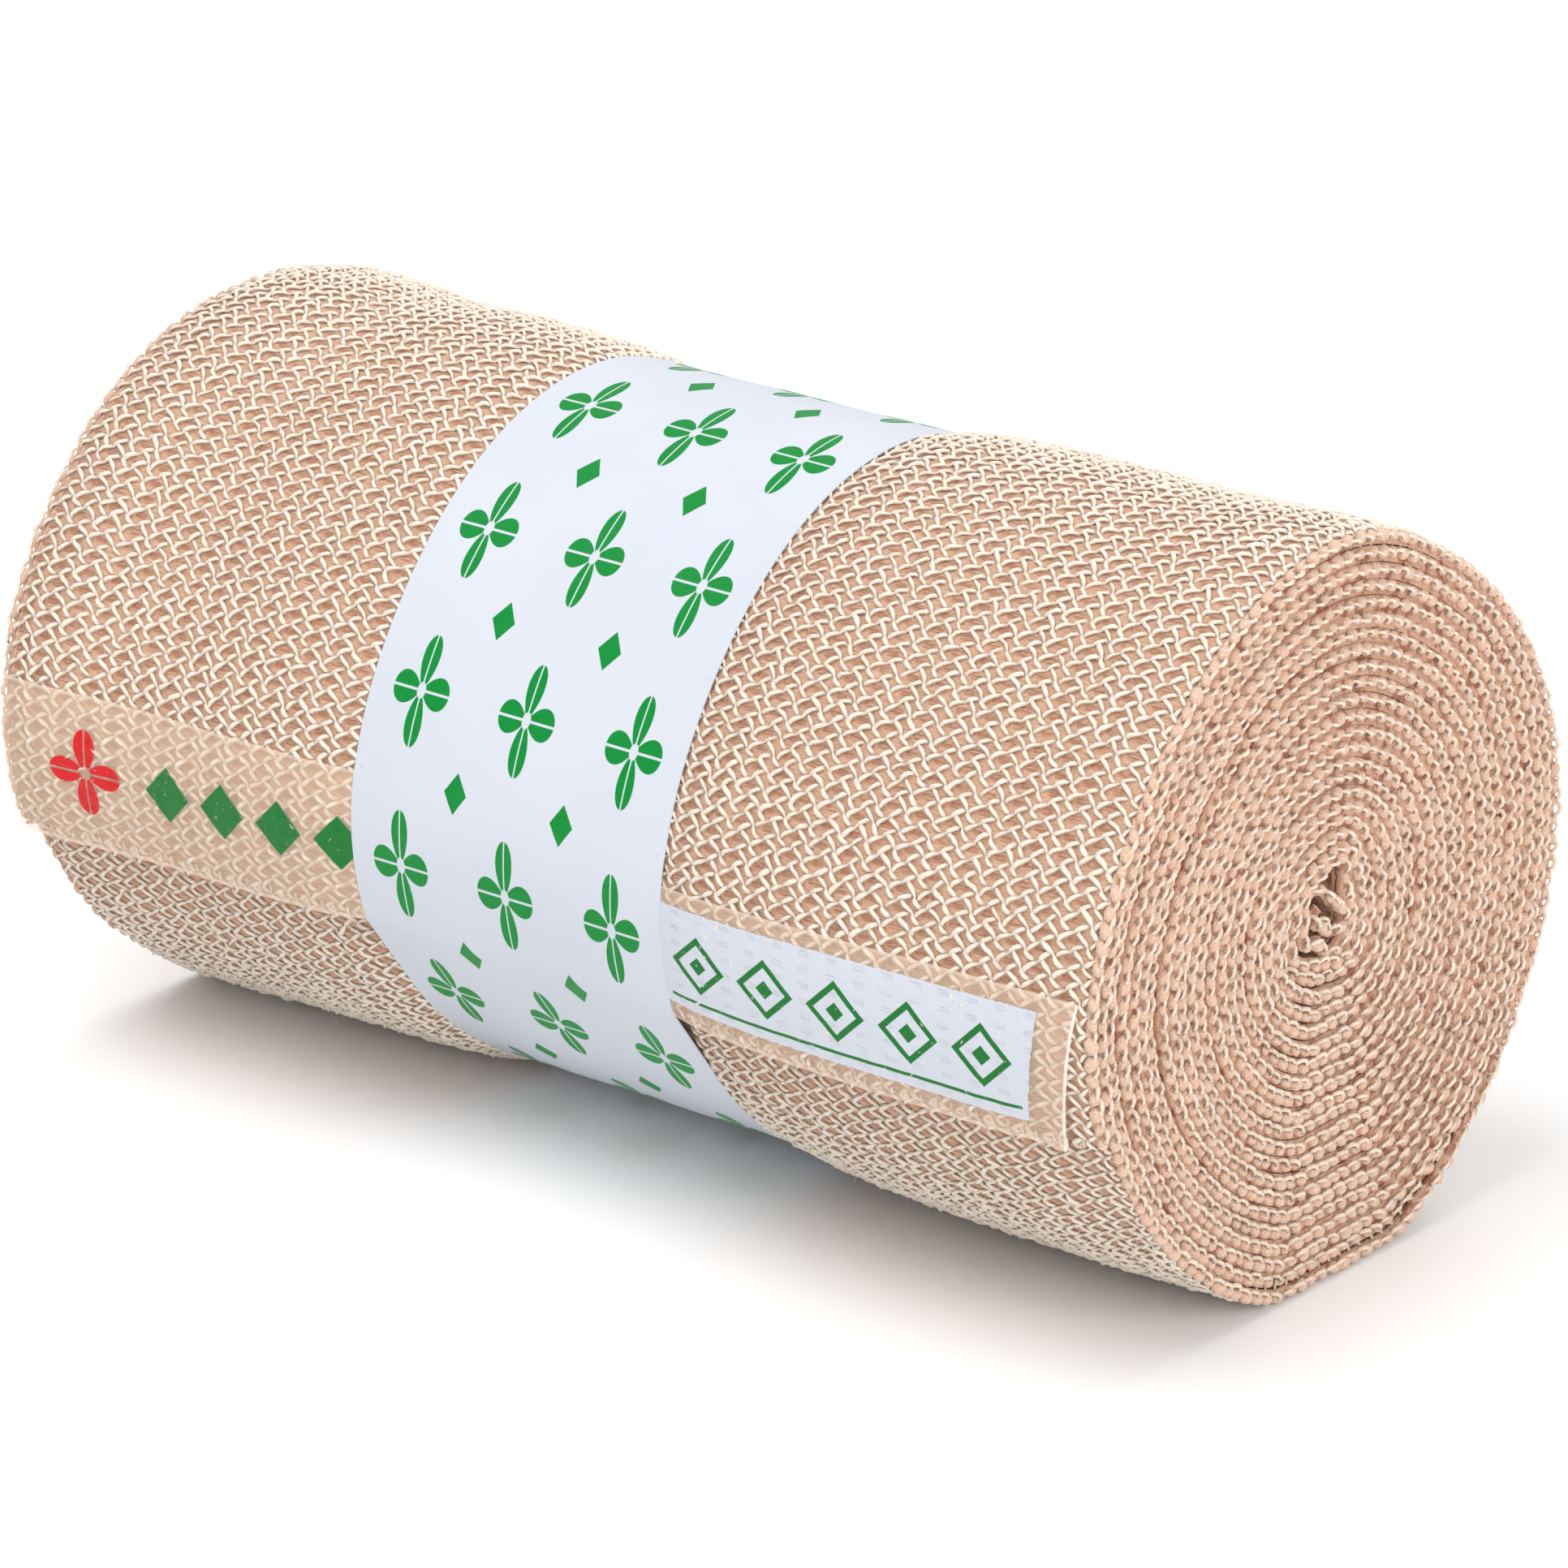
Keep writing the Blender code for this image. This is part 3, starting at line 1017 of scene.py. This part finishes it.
class YarnNet(bpy.types.Operator):
    """Lays the cream net over the roll's outer turn"""

    bl_idname = "bandage.yarn_net"
    bl_label = "Yarn net"

    def execute(self, context):
        sizes = context.scene.bandage_sizes
        tones = context.scene.bandage_tones
        made_of = shown_material("cream_yarn", yarn_material, tones)
        strands = [self.strand(label, sizes) for label in STRANDS]
        around = float(length_at(NET_END))
        spans = {"left": (-1, -BAND_LEFT - 0.0012), "right": (1, BAND_RIGHT - 0.0012)}
        for label, (side, least) in spans.items():
            most = HALF_WIDTH - sizes.margin - sizes.cell_width * (0.0 if side > 0 else 0.5)
            columns = math.ceil((most - least) / sizes.cell_width) + 1
            middle = side * (most - (columns - 1) / 2 * sizes.cell_width)
            for half, low, high in (("lower", 0.0, around / 2), ("upper", around / 2, around)):
                piece = made_object("yarn_net_%s_%s" % (label, half), bpy.data.meshes.new("net"))
                self.lay(piece, strands, sizes, made_of, middle, columns, low, high)
        for strand in strands:
            bpy.data.objects.remove(strand)
        return {"FINISHED"}

    def strand(self, name, sizes):
        """One strand through a node of the net, which dips there and at its ends."""
        share = np.array(STRANDS[name])
        away = np.abs(np.linspace(-1, 1, len(share)))
        x = sizes.cell_width * share[:, 0]
        y = sizes.cell_height * share[:, 1]
        z = 0.00003 + 0.00020 * np.sin(math.pi * away) ** 0.7 - 0.00022 * away**8
        line = np.stack([x, y, z], axis=-1)
        thick = sizes.yarn / 2 * (1 - 0.10 * away**6 - 0.26 * np.exp(-((away / 0.2) ** 2)))
        return made_object(name, tube(name, line, thick, 4))

    def lay(self, piece, strands, sizes, made_of, middle, columns, low, high):
        """One quarter of the net, between these places along the cloth."""
        bottom = math.ceil(low / sizes.cell_height)
        top = math.ceil(high / sizes.cell_height) - 1
        values = {
            "Rising": strands[0],
            "Falling": strands[1],
            "Columns": columns,
            "Rows": top - bottom + 1,
            "Cell Width": sizes.cell_width,
            "Cell Height": sizes.cell_height,
            "Wander": sizes.wander,
            "Seed": 11,
            "Material": made_of,
        }
        mesh = grown(piece, net_tree(), values)
        flat = points_of(mesh)
        flat[:, 0] += middle
        flat = self.without_lost(mesh, flat, len(strands[0].data.vertices))
        flat[:, 1] += (bottom + top) / 2 * sizes.cell_height
        back = back_at(np.maximum(flat[:, 1], 0.0))
        side = np.sign(middle)
        beyond = np.maximum(np.abs(flat[:, 0]) - np.abs(edge_x(side, back)) + HELD_FROM, 0.0)
        flat[:, 0] -= HELD_IN * beyond * side
        flat[:, 2] -= beyond
        under_band = (BAND_WIDTH / 2 + 0.0001 - np.abs(flat[:, 0] - BAND_OFFSET)) / 0.0007
        pressed = NET_DEPTH + BAND_PRESS * ease(under_band)
        set_points(mesh, on_roll(flat[:, 0], back, flat[:, 2] - pressed))
        store_places(mesh, flat)
        finished(piece, "bandage_cloth")

    def without_lost(self, mesh, flat, each):
        """Takes away the strands that lie wholly beyond the cloth's edge."""
        reach = np.abs(flat[:, 0]).reshape(-1, each).min(axis=1)
        lost = np.repeat(reach > LOST_FROM, each)
        bm = bmesh.new()
        bm.from_mesh(mesh)
        bm.verts.ensure_lookup_table()
        bmesh.ops.delete(bm, geom=[bm.verts[i] for i in np.flatnonzero(lost)], context="VERTS")
        bm.to_mesh(mesh)
        bm.free()
        return flat[~lost]


def normalised(vectors):
    return vectors / np.linalg.norm(vectors, axis=1)[:, None]


def outward(points):
    """The directions from the roll's axis to these points."""
    return normalised(points * (0.0, 1.0, 1.0) - (0.0, 0.0, AXIS_HEIGHT))


def edge_yarn(tones):
    shades = tones.loop, tones.loop_shade, tones.yarn_low
    return shown_material("selvedge_yarn", selvedge_material, "selvedge_yarn", *shades)


def row_piece(name, path, shape, made_of, seed, turn, least=0.85, most=1.15):
    """A piece of the cloth that is made of one shape, set on each point of a path."""
    piece = path_piece(name, *path)
    sizes = {"Least Size": least, "Most Size": most}
    grown(piece, row_tree(), {"Shape": shape, "Turn": turn, **sizes, "Seed": seed, "Material": made_of})
    finished(piece, "bandage_cloth")


class Selvedges(bpy.types.Operator):
    """Knits the loops along both edges of the cloth"""

    bl_idname = "bandage.selvedges"
    bl_label = "Selvedges"

    def execute(self, context):
        step = context.scene.bandage_sizes.loop_step
        tones = context.scene.bandage_tones
        shades = tones.selvedge, tones.selvedge_shade, tones.yarn_low
        knit = shown_material("selvedge_knit", selvedge_material, "selvedge_knit", *shades)
        stitch = made_object("stitch", self.stitch())
        for side, label in ((1, "near"), (-1, "far")):
            loop = made_object("loop", self.loop(side))
            path = self.path(side, step, 0.0, STITCH_DEPTH, 0.0)
            row_piece("selvedge_stitches_" + label, path, stitch, knit, 5, 0.38, 0.8, 1.2)
            path = self.path(side, step, 0.42 * step, LOOP_DEPTH, 1.0)
            row_piece("selvedge_loops_" + label, path, loop, edge_yarn(tones), 9, 0.22)
            bpy.data.objects.remove(loop)
        bpy.data.objects.remove(stitch)
        return {"FINISHED"}

    def path(self, side, step, ahead, depth, lean):
        """Points on the cloth's edge, with the directions along it and out of it."""
        along = np.arange(0.0004, float(length_at(CLOTH_END - 30)), step)
        waver = 0.00022 * np.sin(along * 5170.0) * np.sin(along * 2310.0)
        back = back_at(along + ahead + waver)
        here = on_roll(edge_x(side, back), back, -depth)
        heading = on_roll(edge_x(side, back), back + 0.5, -depth) - here
        heading[:, 0] = 0
        angle = np.radians(LOOSE_END_ANGLE - back)
        out = np.stack(np.broadcast_arrays(side, 0.60 * lean * np.cos(angle), 0.65 * lean), axis=-1)
        here[:, 2] = np.maximum(here[:, 2], STITCH_SIZE[0])
        return here, normalised(heading), out

    def stitch(self):
        """A low rounded stitch of the edge."""
        turn = np.arange(8) / 8 * math.tau
        rings = [(0.98, -0.35), (0.94, 0.38), (0.56, 0.86)]
        points = [(wide * math.cos(t), wide * math.sin(t), high) for wide, high in rings for t in turn]
        points = np.array(points + [(0.0, 0.0, 1.0)]) * STITCH_SIZE
        faces = [tuple(range(8))[::-1]]
        for i in range(8):
            after = (i + 1) % 8
            faces += [(i, after, after + 8, i + 8), (i + 8, after + 8, after + 16, i + 16)]
            faces.append((16 + i, 16 + after, 24))
        mesh = bpy.data.meshes.new("stitch")
        mesh.from_pydata(points.tolist(), [], faces)
        mesh.shade_smooth()
        return mesh

    def loop(self, side):
        """A weft yarn where it turns back at the cloth's edge, leaning in towards the roll's axis."""
        turn = np.linspace(-100, 100, 6) * math.pi / 180
        x = 0.00058 * np.sin(turn)
        y = side * (0.00008 - 0.00012 * np.cos(turn) - 0.00012 * np.sin(turn))
        z = 0.00066 * np.cos(turn) + 0.00008
        return tube("loop", np.stack([x, y, z], axis=-1), LOOP_RADIUS, 4)


class LooseThreads(bpy.types.Operator):
    """Frays the cut end and raises loose fibres on the cloth"""

    bl_idname = "bandage.loose_threads"
    bl_label = "Loose threads"

    def execute(self, context):
        fuzz = context.scene.bandage_sizes.fuzz
        yarn = edge_yarn(context.scene.bandage_tones)
        rng = np.random.default_rng(4)
        line = [(0, 0, 0), (0.0001, 0, 0.0004), (0.0004, 0.0001, 0.0007), (0.0008, 0.0002, 0.0008)]
        fibre = made_object("fibre", tube("fibre", line, 0.000012, 3))
        x = rng.uniform(-HALF_WIDTH + 0.001, HALF_WIDTH - 0.001, fuzz)
        on_band = (x > BAND_LEFT - 0.001) & (x < BAND_RIGHT + 0.001)
        x = np.where(on_band, x + np.where(x > BAND_OFFSET, 0.022, -0.022), x)
        here = on_roll(x, rng.uniform(30, 358, fuzz), -0.0001)
        along = rng.normal(size=(fuzz, 3))
        keep = here[:, 2] > 0.003
        path = here[keep], along[keep], outward(here)[keep]
        row_piece("loose_fibres", path, fibre, yarn, 2, 0.5, 0.5, 1.5)
        line = [(-0.0006, 0, 0), (0.0, 0, 0.00004), (0.0005, 0, -0.00002)]
        thread = made_object("thread", tube("thread", line, (0.00014, 0.00014, 0.00010), 5))
        x = np.arange(-HALF_WIDTH + 0.0012, HALF_WIDTH - 0.0012, 0.00048)
        depth = np.where(np.arange(len(x)) % 3 == 0, -0.0002, -0.0007)
        depth = depth + rng.uniform(-0.0002, 0.0002, len(x))
        here = on_roll(x, rng.uniform(0, 0.4, len(x)), depth)
        down = on_roll(x, 0.0, depth) - on_roll(x, 1.0, depth)
        path = here, normalised(down), outward(here)
        row_piece("cut_end_threads", path, thread, yarn, 6, 0.2, 0.8, 1.2)
        for shape in (fibre, thread):
            bpy.data.objects.remove(shape)
        return {"FINISHED"}


class ClosingFilm(bpy.types.Operator):
    """Sticks the clear film along the cloth's loose end"""

    bl_idname = "bandage.closing_film"
    bl_label = "Closing film"

    def execute(self, context):
        tones = context.scene.bandage_tones
        print_ = context.scene.bandage_print
        rows, columns = FILM_GRID
        up = np.linspace(-0.0003, STRIP_WIDTH + 0.0002, rows)[:, None]
        share = np.linspace(0, 1, columns)[None, :]
        far = -HALF_WIDTH + 0.0004
        near = FILM_NEAR + FILM_SLANT * up / STRIP_WIDTH
        x = far + (near - far) * share
        narrowed = FILM_NARROWS * ease((x + 0.0170) / 0.0250)
        widened = FILM_WIDENS * np.clip((x - 0.0100) / 0.0470, 0.0, 1.0)
        back = np.degrees(up * (1 - narrowed + widened) / ROLL_RADIUS)
        lift = FILM_CURL * ease((x - 0.0542) / 0.0022) * (1 - 0.4 * up / STRIP_WIDTH)
        lift = lift + 0.00008 * ease((0.0012 - up) / 0.0015)
        ripple = FILM_RIPPLE * np.sin(x * 2100 + 2 * np.sin(up * 900)) * np.sin(up * 1900 + x * 300)
        under_band = ease((BAND_WIDTH / 2 + 0.0004 - np.abs(x - BAND_OFFSET)) / 0.0012)
        height = FILM_GAP + (lift + ripple) * (1 - under_band) - 0.00006 * under_band
        points, faces = slab(on_roll(x, back, height), on_roll(x, back, height - FILM_WALL))
        flat = np.stack(np.broadcast_arrays(x, up, 0.0), axis=-1).reshape(-1, 3)
        piece = slab_piece("closing_film", points, faces, np.concatenate([flat, flat]))
        film = shown_material("clear_film", film_material, tones, print_, context.scene.bandage_sizes)
        edge = shown_material("film_edge", cut_edge_material, tones)
        finished(piece, "closing_film", film, edge)
        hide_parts("closing_strip")
        near_end = 2 * (rows - 1) * (columns - 1) + columns - 1
        kinds = np.zeros(len(faces), np.int32)
        kinds[near_end:near_end + rows - 1] = 1
        piece.data.polygons.foreach_set("material_index", kinds)
        return {"FINISHED"}


class PaperBand(bpy.types.Operator):
    """Wraps the printed paper band round the roll"""

    bl_idname = "bandage.paper_band"
    bl_label = "Paper band"

    def execute(self, context):
        print_ = context.scene.bandage_print
        turn = np.linspace(0, 360 + BAND_OVERLAP, 260)
        angle = BAND_SEAM + turn
        around = np.radians(angle)[:, None]
        overlapped = 0.00013 * ease((turn - 357) / 4)
        ends = BAND_LEFT + 0.001, BAND_RIGHT - 0.001
        left, right = (self.radius(angle % 360, x) + overlapped for x in ends)
        girth = math.pi * float(left.mean() + right.mean())
        along = turn / 360 * round(girth / print_.row_step) * print_.row_step
        x = np.linspace(BAND_LEFT, BAND_RIGHT, 13)[None, :]
        flare = 0.00006 * (np.abs(x - BAND_OFFSET) / (BAND_WIDTH / 2)) ** 8
        across = (x - BAND_LEFT) / BAND_WIDTH
        radius = left[:, None] * (1 - across) + right[:, None] * across
        waver = 0.00003 * np.sin(x * 420 + around * 3)
        grids = []
        for depth in (0.0, BAND_WALL):
            reach = radius + flare + waver - depth
            z = np.maximum(AXIS_HEIGHT + reach * np.sin(around), FLOOR_GAP + depth)
            grids.append(np.stack(np.broadcast_arrays(x, reach * np.cos(around), z), axis=-1))
        points, faces = slab(*grids)
        flat = np.stack(np.broadcast_arrays(x, along[:, None], 0.0), axis=-1).reshape(-1, 3)
        piece = slab_piece("printed_band", points, faces, np.concatenate([flat, flat]))
        finished(piece, "band_paper", shown_material("printed_paper", paper_material, print_))
        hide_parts("paper_band")
        return {"FINISHED"}

    def radius(self, angle, x):
        """How far out the paper lies here: stretched over the cloth and the film, so nowhere hollow."""
        ring = np.sort(np.append(np.arange(0, 360, 1.5), LOOSE_END_ANGLE + 0.5))
        back = (LOOSE_END_ANGLE + 0.55 - ring) % 360 - 0.55
        over_film = (back < STRIP_ARC + 1) | (back > 358.5)
        reach = free_radius(x, back) * settled(x, ring) + 0.00014 + np.where(over_film, 0.00012, 0)
        turn = np.radians(ring)
        spots = list(zip(reach * np.cos(turn), reach * np.sin(turn)))
        corners = np.array(hull(spots))
        corner_angle = np.degrees(np.arctan2(corners[:, 1], corners[:, 0])) % 360
        order = np.argsort(corner_angle)
        corners, corner_angle = corners[order], corner_angle[order]
        near = np.searchsorted(corner_angle, angle) % len(corners)
        a, b = corners[near - 1], corners[near]
        ahead = np.stack([np.cos(np.radians(angle)), np.sin(np.radians(angle))], axis=-1)
        side = b - a
        top = a[:, 0] * side[:, 1] - a[:, 1] * side[:, 0]
        under = ahead[:, 0] * side[:, 1] - ahead[:, 1] * side[:, 0]
        return top / under


def hull(points):
    """The convex outline of these points, counterclockwise."""
    points = sorted(points)

    def half(ordered):
        chain = []
        for point in ordered:
            while len(chain) > 1 and bend(chain[-2], chain[-1], point) <= 0:
                chain.pop()
            chain.append(point)
        return chain[:-1]

    return half(points) + half(points[::-1])


def bend(a, b, c):
    """Positive where the way from a by b to c turns left."""
    return (b[0] - a[0]) * (c[1] - a[1]) - (b[1] - a[1]) * (c[0] - a[0])


class Stage(bpy.types.Operator):
    """Sets the floor, the lights and the camera"""

    bl_idname = "bandage.stage"
    bl_label = "Stage"

    def execute(self, context):
        scene = context.scene
        scene.view_settings.view_transform = "Standard"
        scene.view_settings.look = "None"
        mesh = bpy.data.meshes.new("floor")
        reach = 4.0
        corners = [(-reach, -reach, 0), (reach, -reach, 0), (reach, reach, 0), (-reach, reach, 0)]
        mesh.from_pydata(corners, [], [(0, 1, 2, 3)])
        mesh.materials.append(floor_material((0.92, 0.92, 0.92, 1.0)))
        made_object("floor", mesh)
        world = bpy.data.worlds.new("studio")
        world.use_nodes = True
        world.node_tree.nodes["Background"].inputs["Color"].default_value = (1.0, 1.0, 1.0, 1.0)
        world.node_tree.nodes["Background"].inputs["Strength"].default_value = 0.64
        scene.world = world
        self.lamp("key", (-0.15, -0.35, 1.05), 0.8, 6.5)
        self.lamp("fill", (0.85, -0.35, 0.40), 0.8, 5.2)
        self.lamp("back", (-0.1, 0.8, 0.8), 0.8, 2.6)
        self.camera(scene)
        return {"FINISHED"}

    def lamp(self, name, place, size, power):
        light = bpy.data.lights.new(name, "AREA")
        light.shape = "DISK"
        light.size = size
        light.energy = power
        lamp = made_object(name, light)
        lamp.location = place
        lamp.rotation_euler = (Vector((0, 0, 0.03)) - Vector(place)).to_track_quat("-Z", "Y").to_euler()

    def camera(self, scene):
        """The photograph's viewing angle, from about 0.62 m away."""
        around, above, away = math.radians(39.92), math.radians(20.23), 0.6167
        back = Vector((
            math.sin(around) * math.cos(above),
            -math.cos(around) * math.cos(above),
            math.sin(above),
        ))
        data = bpy.data.cameras.new("camera")
        data.lens = 163.6
        data.sensor_width = 36.0
        data.shift_x = 0.0075
        data.shift_y = -0.0154
        data.clip_start, data.clip_end = 0.05, 20.0
        camera = made_object("camera", data)
        camera.location = Vector((0, -0.00013, 0.03202)) + back * away
        camera.rotation_euler = (-back).to_track_quat("-Z", "Y").to_euler()
        scene.camera = camera


class BandagePanel(bpy.types.Panel):
    """Lists the pieces of the bandage, with their sizes and colours"""

    bl_idname = "VIEW3D_PT_bandage"
    bl_label = "Compression bandage"
    bl_space_type = "VIEW_3D"
    bl_region_type = "UI"
    bl_category = "Bandage"

    def draw(self, context):
        scene = context.scene
        for operator in PIECES:
            self.layout.operator(operator.bl_idname)
        for settings in (scene.bandage_sizes, scene.bandage_tones, scene.bandage_print):
            box = self.layout.box()
            for label in settings.__annotations__:
                box.prop(settings, label)


PIECES = (WoundCloth, YarnNet, Selvedges, LooseThreads, ClosingFilm, PaperBand, Stage)
GROUPS = {"bandage_sizes": ClothSizes, "bandage_tones": ClothTones, "bandage_print": BandPrint}


def register():
    for made in (*GROUPS.values(), *PIECES, BandagePanel):
        bpy.utils.register_class(made)
    for name, made in GROUPS.items():
        setattr(bpy.types.Scene, name, bpy.props.PointerProperty(type=made))


def unregister():
    for name in GROUPS:
        delattr(bpy.types.Scene, name)
    for made in (BandagePanel, *PIECES[::-1], *tuple(GROUPS.values())[::-1]):
        bpy.utils.unregister_class(made)


def main():
    register()
    for operator in PIECES:
        family, name = operator.bl_idname.split(".")
        getattr(getattr(bpy.ops, family), name)()


if __name__ == "__main__":
    main()
